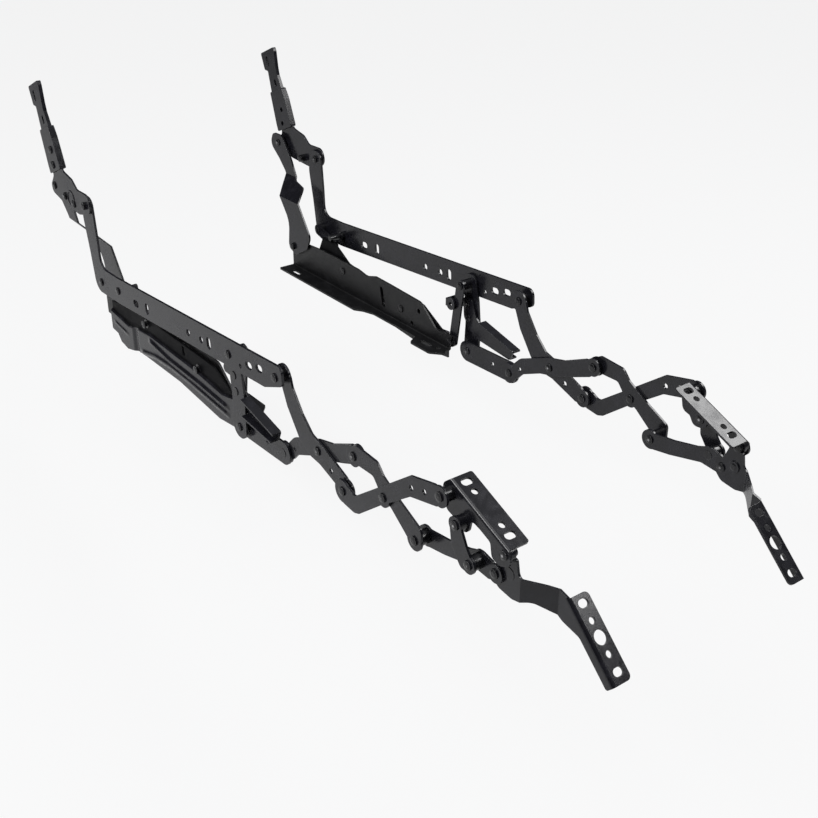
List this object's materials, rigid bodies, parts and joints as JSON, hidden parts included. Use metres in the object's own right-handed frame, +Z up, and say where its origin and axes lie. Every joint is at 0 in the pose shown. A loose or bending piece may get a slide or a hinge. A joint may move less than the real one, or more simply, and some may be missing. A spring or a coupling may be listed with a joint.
{
  "type": "recliner mechanism",
  "caption": "Matched pair of black steel recliner mechanisms, with pivoted link trains that put out a footrest and base rails that let the back lean.",
  "frame": {"origin": "middle of the base rails' four floor slots, level with the underside of the foot flanges", "axes": "+X towards the footrest, +Y across the chair to a seated person's left, +Z up"},
  "size_m": [1.2197, 0.4246, 0.3869],
  "materials": {
    "black_paint": "semi-gloss",
    "pivot_steel": "satin"
  },
  "bodies": {
    "base": {"right_base_rail": "black_paint", "right_outer_rail_plate": "black_paint", "right_rail_rivets": "pivot_steel", "left_base_rail": "black_paint", "left_outer_rail_plate": "black_paint", "left_rail_rivets": "pivot_steel"},
    "right_rear_support": {"right_rear_support_link": "black_paint"},
    "right_front_support": {"right_front_support_link": "black_paint"},
    "right_seat": {"right_seat_plate": "black_paint", "right_seat_stud": "pivot_steel", "right_seat_pins": "pivot_steel"},
    "right_back": {"right_back_toggle": "black_paint", "right_back_sleeve": "black_paint", "right_back_post": "black_paint", "right_back_fasteners": "pivot_steel"},
    "right_rear_link": {"right_rear_link": "black_paint"},
    "right_crank": {"right_crank": "black_paint", "right_trip_lever": "black_paint", "right_crank_rivets": "pivot_steel"},
    "right_drive": {"right_drive_link": "black_paint", "right_drive_stub_rivet": "pivot_steel"},
    "right_link_a": {"right_long_link": "black_paint", "right_long_link_rivets": "pivot_steel"},
    "right_link_b": {"right_tail_link": "black_paint", "right_tail_link_rivets": "pivot_steel"},
    "right_link_c": {"right_upper_cross_link": "black_paint"},
    "right_link_d": {"right_cranked_link": "black_paint", "right_cranked_link_rivets": "pivot_steel"},
    "right_link_e": {"right_lower_link": "black_paint", "right_lower_link_rivets": "pivot_steel"},
    "right_strap": {"right_strap": "black_paint"},
    "right_ottoman": {"right_ottoman_bracket": "black_paint"},
    "right_foot": {"right_foot_arm": "black_paint"},
    "left_rear_support": {"left_rear_support_link": "black_paint"},
    "left_front_support": {"left_front_support_link": "black_paint"},
    "left_seat": {"left_seat_plate": "black_paint", "left_seat_stud": "pivot_steel", "left_seat_pins": "pivot_steel"},
    "left_back": {"left_back_toggle": "black_paint", "left_back_sleeve": "black_paint", "left_back_post": "black_paint", "left_back_fasteners": "pivot_steel"},
    "left_rear_link": {"left_rear_link": "black_paint"},
    "left_crank": {"left_crank": "black_paint", "left_trip_lever": "black_paint", "left_crank_rivets": "pivot_steel"},
    "left_drive": {"left_drive_link": "black_paint", "left_drive_stub_rivet": "pivot_steel"},
    "left_link_a": {"left_long_link": "black_paint", "left_long_link_rivets": "pivot_steel"},
    "left_link_b": {"left_tail_link": "black_paint", "left_tail_link_rivets": "pivot_steel"},
    "left_link_c": {"left_upper_cross_link": "black_paint"},
    "left_link_d": {"left_cranked_link": "black_paint", "left_cranked_link_rivets": "pivot_steel"},
    "left_link_e": {"left_lower_link": "black_paint", "left_lower_link_rivets": "pivot_steel"},
    "left_strap": {"left_strap": "black_paint"},
    "left_ottoman": {"left_ottoman_bracket": "black_paint"},
    "left_foot": {"left_foot_arm": "black_paint"}
  },
  "joints": [
    {"name": "right_front_support_swing", "type": "hinge", "parent": "base", "child": "right_front_support", "pos_m": [0.2173, -0.2025, 0.0142], "axis": [0, -1, 0], "range_deg": [-8.22, 0]},
    {"name": "right_seat_swing", "type": "hinge", "parent": "right_front_support", "child": "right_seat", "pos_m": [0.2313, -0.2025, 0.1069], "axis": [0, -1, 0], "range_deg": [0, 4.33]},
    {"name": "right_recline", "type": "hinge", "parent": "right_seat", "child": "right_back", "pos_m": [-0.18, -0.2025, 0.195], "axis": [0, -1, 0], "range_deg": [0, 12]},
    {"name": "right_rear_support_swing", "type": "hinge", "parent": "right_seat", "child": "right_rear_support", "pos_m": [-0.162, -0.2025, 0.0785], "axis": [0, -1, 0], "range_deg": [-26.55, 0]},
    {"name": "right_rear_link_swing", "type": "hinge", "parent": "right_back", "child": "right_rear_link", "pos_m": [-0.292, -0.2025, 0.1985], "axis": [0, -1, 0], "range_deg": [-15.24, 0]},
    {"name": "right_footrest", "type": "hinge", "parent": "right_seat", "child": "right_link_a", "pos_m": [0.3465, -0.2025, 0.1196], "axis": [0, 1, 0], "range_deg": [0, 70]},
    {"name": "right_link_b_swing", "type": "hinge", "parent": "right_link_a", "child": "right_link_b", "pos_m": [0.4182, -0.2025, 0.0463], "axis": [0, 1, 0], "range_deg": [-70, 0]},
    {"name": "right_link_c_swing", "type": "hinge", "parent": "right_link_b", "child": "right_link_c", "pos_m": [0.4989, -0.2025, 0.0783], "axis": [0, 1, 0], "range_deg": [0, 70]},
    {"name": "right_link_d_swing", "type": "hinge", "parent": "right_link_a", "child": "right_link_d", "pos_m": [0.4806, -0.2025, 0.0239], "axis": [0, 1, 0], "range_deg": [-70, 0]},
    {"name": "right_link_e_swing", "type": "hinge", "parent": "right_link_c", "child": "right_link_e", "pos_m": [0.6143, -0.2025, 0.0261], "axis": [0, 1, 0], "range_deg": [-84.52, 0]},
    {"name": "right_ottoman_swing", "type": "hinge", "parent": "right_link_d", "child": "right_ottoman", "pos_m": [0.6613, -0.2025, 0.1079], "axis": [0, 1, 0], "range_deg": [0, 48.69]},
    {"name": "right_strap_swing", "type": "hinge", "parent": "right_ottoman", "child": "right_strap", "pos_m": [0.6828, -0.2025, 0.0829], "axis": [0, 1, 0], "range_deg": [0, 13.13]},
    {"name": "right_foot_swing", "type": "hinge", "parent": "right_ottoman", "child": "right_foot", "pos_m": [0.7473, -0.2025, 0.0775], "axis": [0, 1, 0], "range_deg": [0, 37.58]},
    {"name": "right_crank_swing", "type": "hinge", "parent": "right_seat", "child": "right_crank", "pos_m": [0.2313, -0.2025, 0.1069], "axis": [0, 1, 0], "range_deg": [0, 60.19]},
    {"name": "right_drive_swing", "type": "hinge", "parent": "right_crank", "child": "right_drive", "pos_m": [0.2395, -0.2025, 0.0026], "axis": [0, 1, 0], "range_deg": [-19.43, 0]},
    {"name": "left_front_support_swing", "type": "hinge", "parent": "base", "child": "left_front_support", "pos_m": [0.2173, 0.2025, 0.0142], "axis": [0, -1, 0], "range_deg": [-8.22, 0]},
    {"name": "left_seat_swing", "type": "hinge", "parent": "left_front_support", "child": "left_seat", "pos_m": [0.2313, 0.2025, 0.1069], "axis": [0, -1, 0], "range_deg": [0, 4.33]},
    {"name": "left_recline", "type": "hinge", "parent": "left_seat", "child": "left_back", "pos_m": [-0.18, 0.2025, 0.195], "axis": [0, -1, 0], "range_deg": [0, 12]},
    {"name": "left_rear_support_swing", "type": "hinge", "parent": "left_seat", "child": "left_rear_support", "pos_m": [-0.162, 0.2025, 0.0785], "axis": [0, -1, 0], "range_deg": [-26.55, 0]},
    {"name": "left_rear_link_swing", "type": "hinge", "parent": "left_back", "child": "left_rear_link", "pos_m": [-0.292, 0.2025, 0.1985], "axis": [0, -1, 0], "range_deg": [-15.24, 0]},
    {"name": "left_footrest", "type": "hinge", "parent": "left_seat", "child": "left_link_a", "pos_m": [0.3465, 0.2025, 0.1196], "axis": [0, 1, 0], "range_deg": [0, 70]},
    {"name": "left_link_b_swing", "type": "hinge", "parent": "left_link_a", "child": "left_link_b", "pos_m": [0.4182, 0.2025, 0.0463], "axis": [0, 1, 0], "range_deg": [-70, 0]},
    {"name": "left_link_c_swing", "type": "hinge", "parent": "left_link_b", "child": "left_link_c", "pos_m": [0.4989, 0.2025, 0.0783], "axis": [0, 1, 0], "range_deg": [0, 70]},
    {"name": "left_link_d_swing", "type": "hinge", "parent": "left_link_a", "child": "left_link_d", "pos_m": [0.4806, 0.2025, 0.0239], "axis": [0, 1, 0], "range_deg": [-70, 0]},
    {"name": "left_link_e_swing", "type": "hinge", "parent": "left_link_c", "child": "left_link_e", "pos_m": [0.6143, 0.2025, 0.0261], "axis": [0, 1, 0], "range_deg": [-84.52, 0]},
    {"name": "left_ottoman_swing", "type": "hinge", "parent": "left_link_d", "child": "left_ottoman", "pos_m": [0.6613, 0.2025, 0.1079], "axis": [0, 1, 0], "range_deg": [0, 48.69]},
    {"name": "left_strap_swing", "type": "hinge", "parent": "left_ottoman", "child": "left_strap", "pos_m": [0.6828, 0.2025, 0.0829], "axis": [0, 1, 0], "range_deg": [0, 13.13]},
    {"name": "left_foot_swing", "type": "hinge", "parent": "left_ottoman", "child": "left_foot", "pos_m": [0.7473, 0.2025, 0.0775], "axis": [0, 1, 0], "range_deg": [0, 37.58]},
    {"name": "left_crank_swing", "type": "hinge", "parent": "left_seat", "child": "left_crank", "pos_m": [0.2313, 0.2025, 0.1069], "axis": [0, 1, 0], "range_deg": [0, 60.19]},
    {"name": "left_drive_swing", "type": "hinge", "parent": "left_crank", "child": "left_drive", "pos_m": [0.2395, 0.2025, 0.0026], "axis": [0, 1, 0], "range_deg": [-19.43, 0]}
  ],
  "couplings": [
    {"joint": "right_front_support_swing", "follows": "right_recline", "ratio": -0.685},
    {"joint": "right_seat_swing", "follows": "right_recline", "ratio": 0.361},
    {"joint": "right_rear_support_swing", "follows": "right_recline", "ratio": -2.212},
    {"joint": "right_rear_link_swing", "follows": "right_recline", "ratio": -1.27},
    {"joint": "right_link_b_swing", "follows": "right_footrest", "ratio": -1},
    {"joint": "right_link_c_swing", "follows": "right_footrest", "ratio": 1},
    {"joint": "right_link_d_swing", "follows": "right_footrest", "ratio": -1},
    {"joint": "right_link_e_swing", "follows": "right_footrest", "ratio": -1.2074},
    {"joint": "right_ottoman_swing", "follows": "right_footrest", "ratio": 0.6956},
    {"joint": "right_strap_swing", "follows": "right_footrest", "ratio": 0.1876},
    {"joint": "right_foot_swing", "follows": "right_footrest", "ratio": 0.5368},
    {"joint": "right_crank_swing", "follows": "right_footrest", "ratio": 0.8599},
    {"joint": "right_drive_swing", "follows": "right_footrest", "ratio": -0.2776},
    {"joint": "left_front_support_swing", "follows": "left_recline", "ratio": -0.685},
    {"joint": "left_seat_swing", "follows": "left_recline", "ratio": 0.361},
    {"joint": "left_rear_support_swing", "follows": "left_recline", "ratio": -2.212},
    {"joint": "left_rear_link_swing", "follows": "left_recline", "ratio": -1.27},
    {"joint": "left_link_b_swing", "follows": "left_footrest", "ratio": -1},
    {"joint": "left_link_c_swing", "follows": "left_footrest", "ratio": 1},
    {"joint": "left_link_d_swing", "follows": "left_footrest", "ratio": -1},
    {"joint": "left_link_e_swing", "follows": "left_footrest", "ratio": -1.2074},
    {"joint": "left_ottoman_swing", "follows": "left_footrest", "ratio": 0.6956},
    {"joint": "left_strap_swing", "follows": "left_footrest", "ratio": 0.1876},
    {"joint": "left_foot_swing", "follows": "left_footrest", "ratio": 0.5368},
    {"joint": "left_crank_swing", "follows": "left_footrest", "ratio": 0.8599},
    {"joint": "left_drive_swing", "follows": "left_footrest", "ratio": -0.2776}
  ]
}
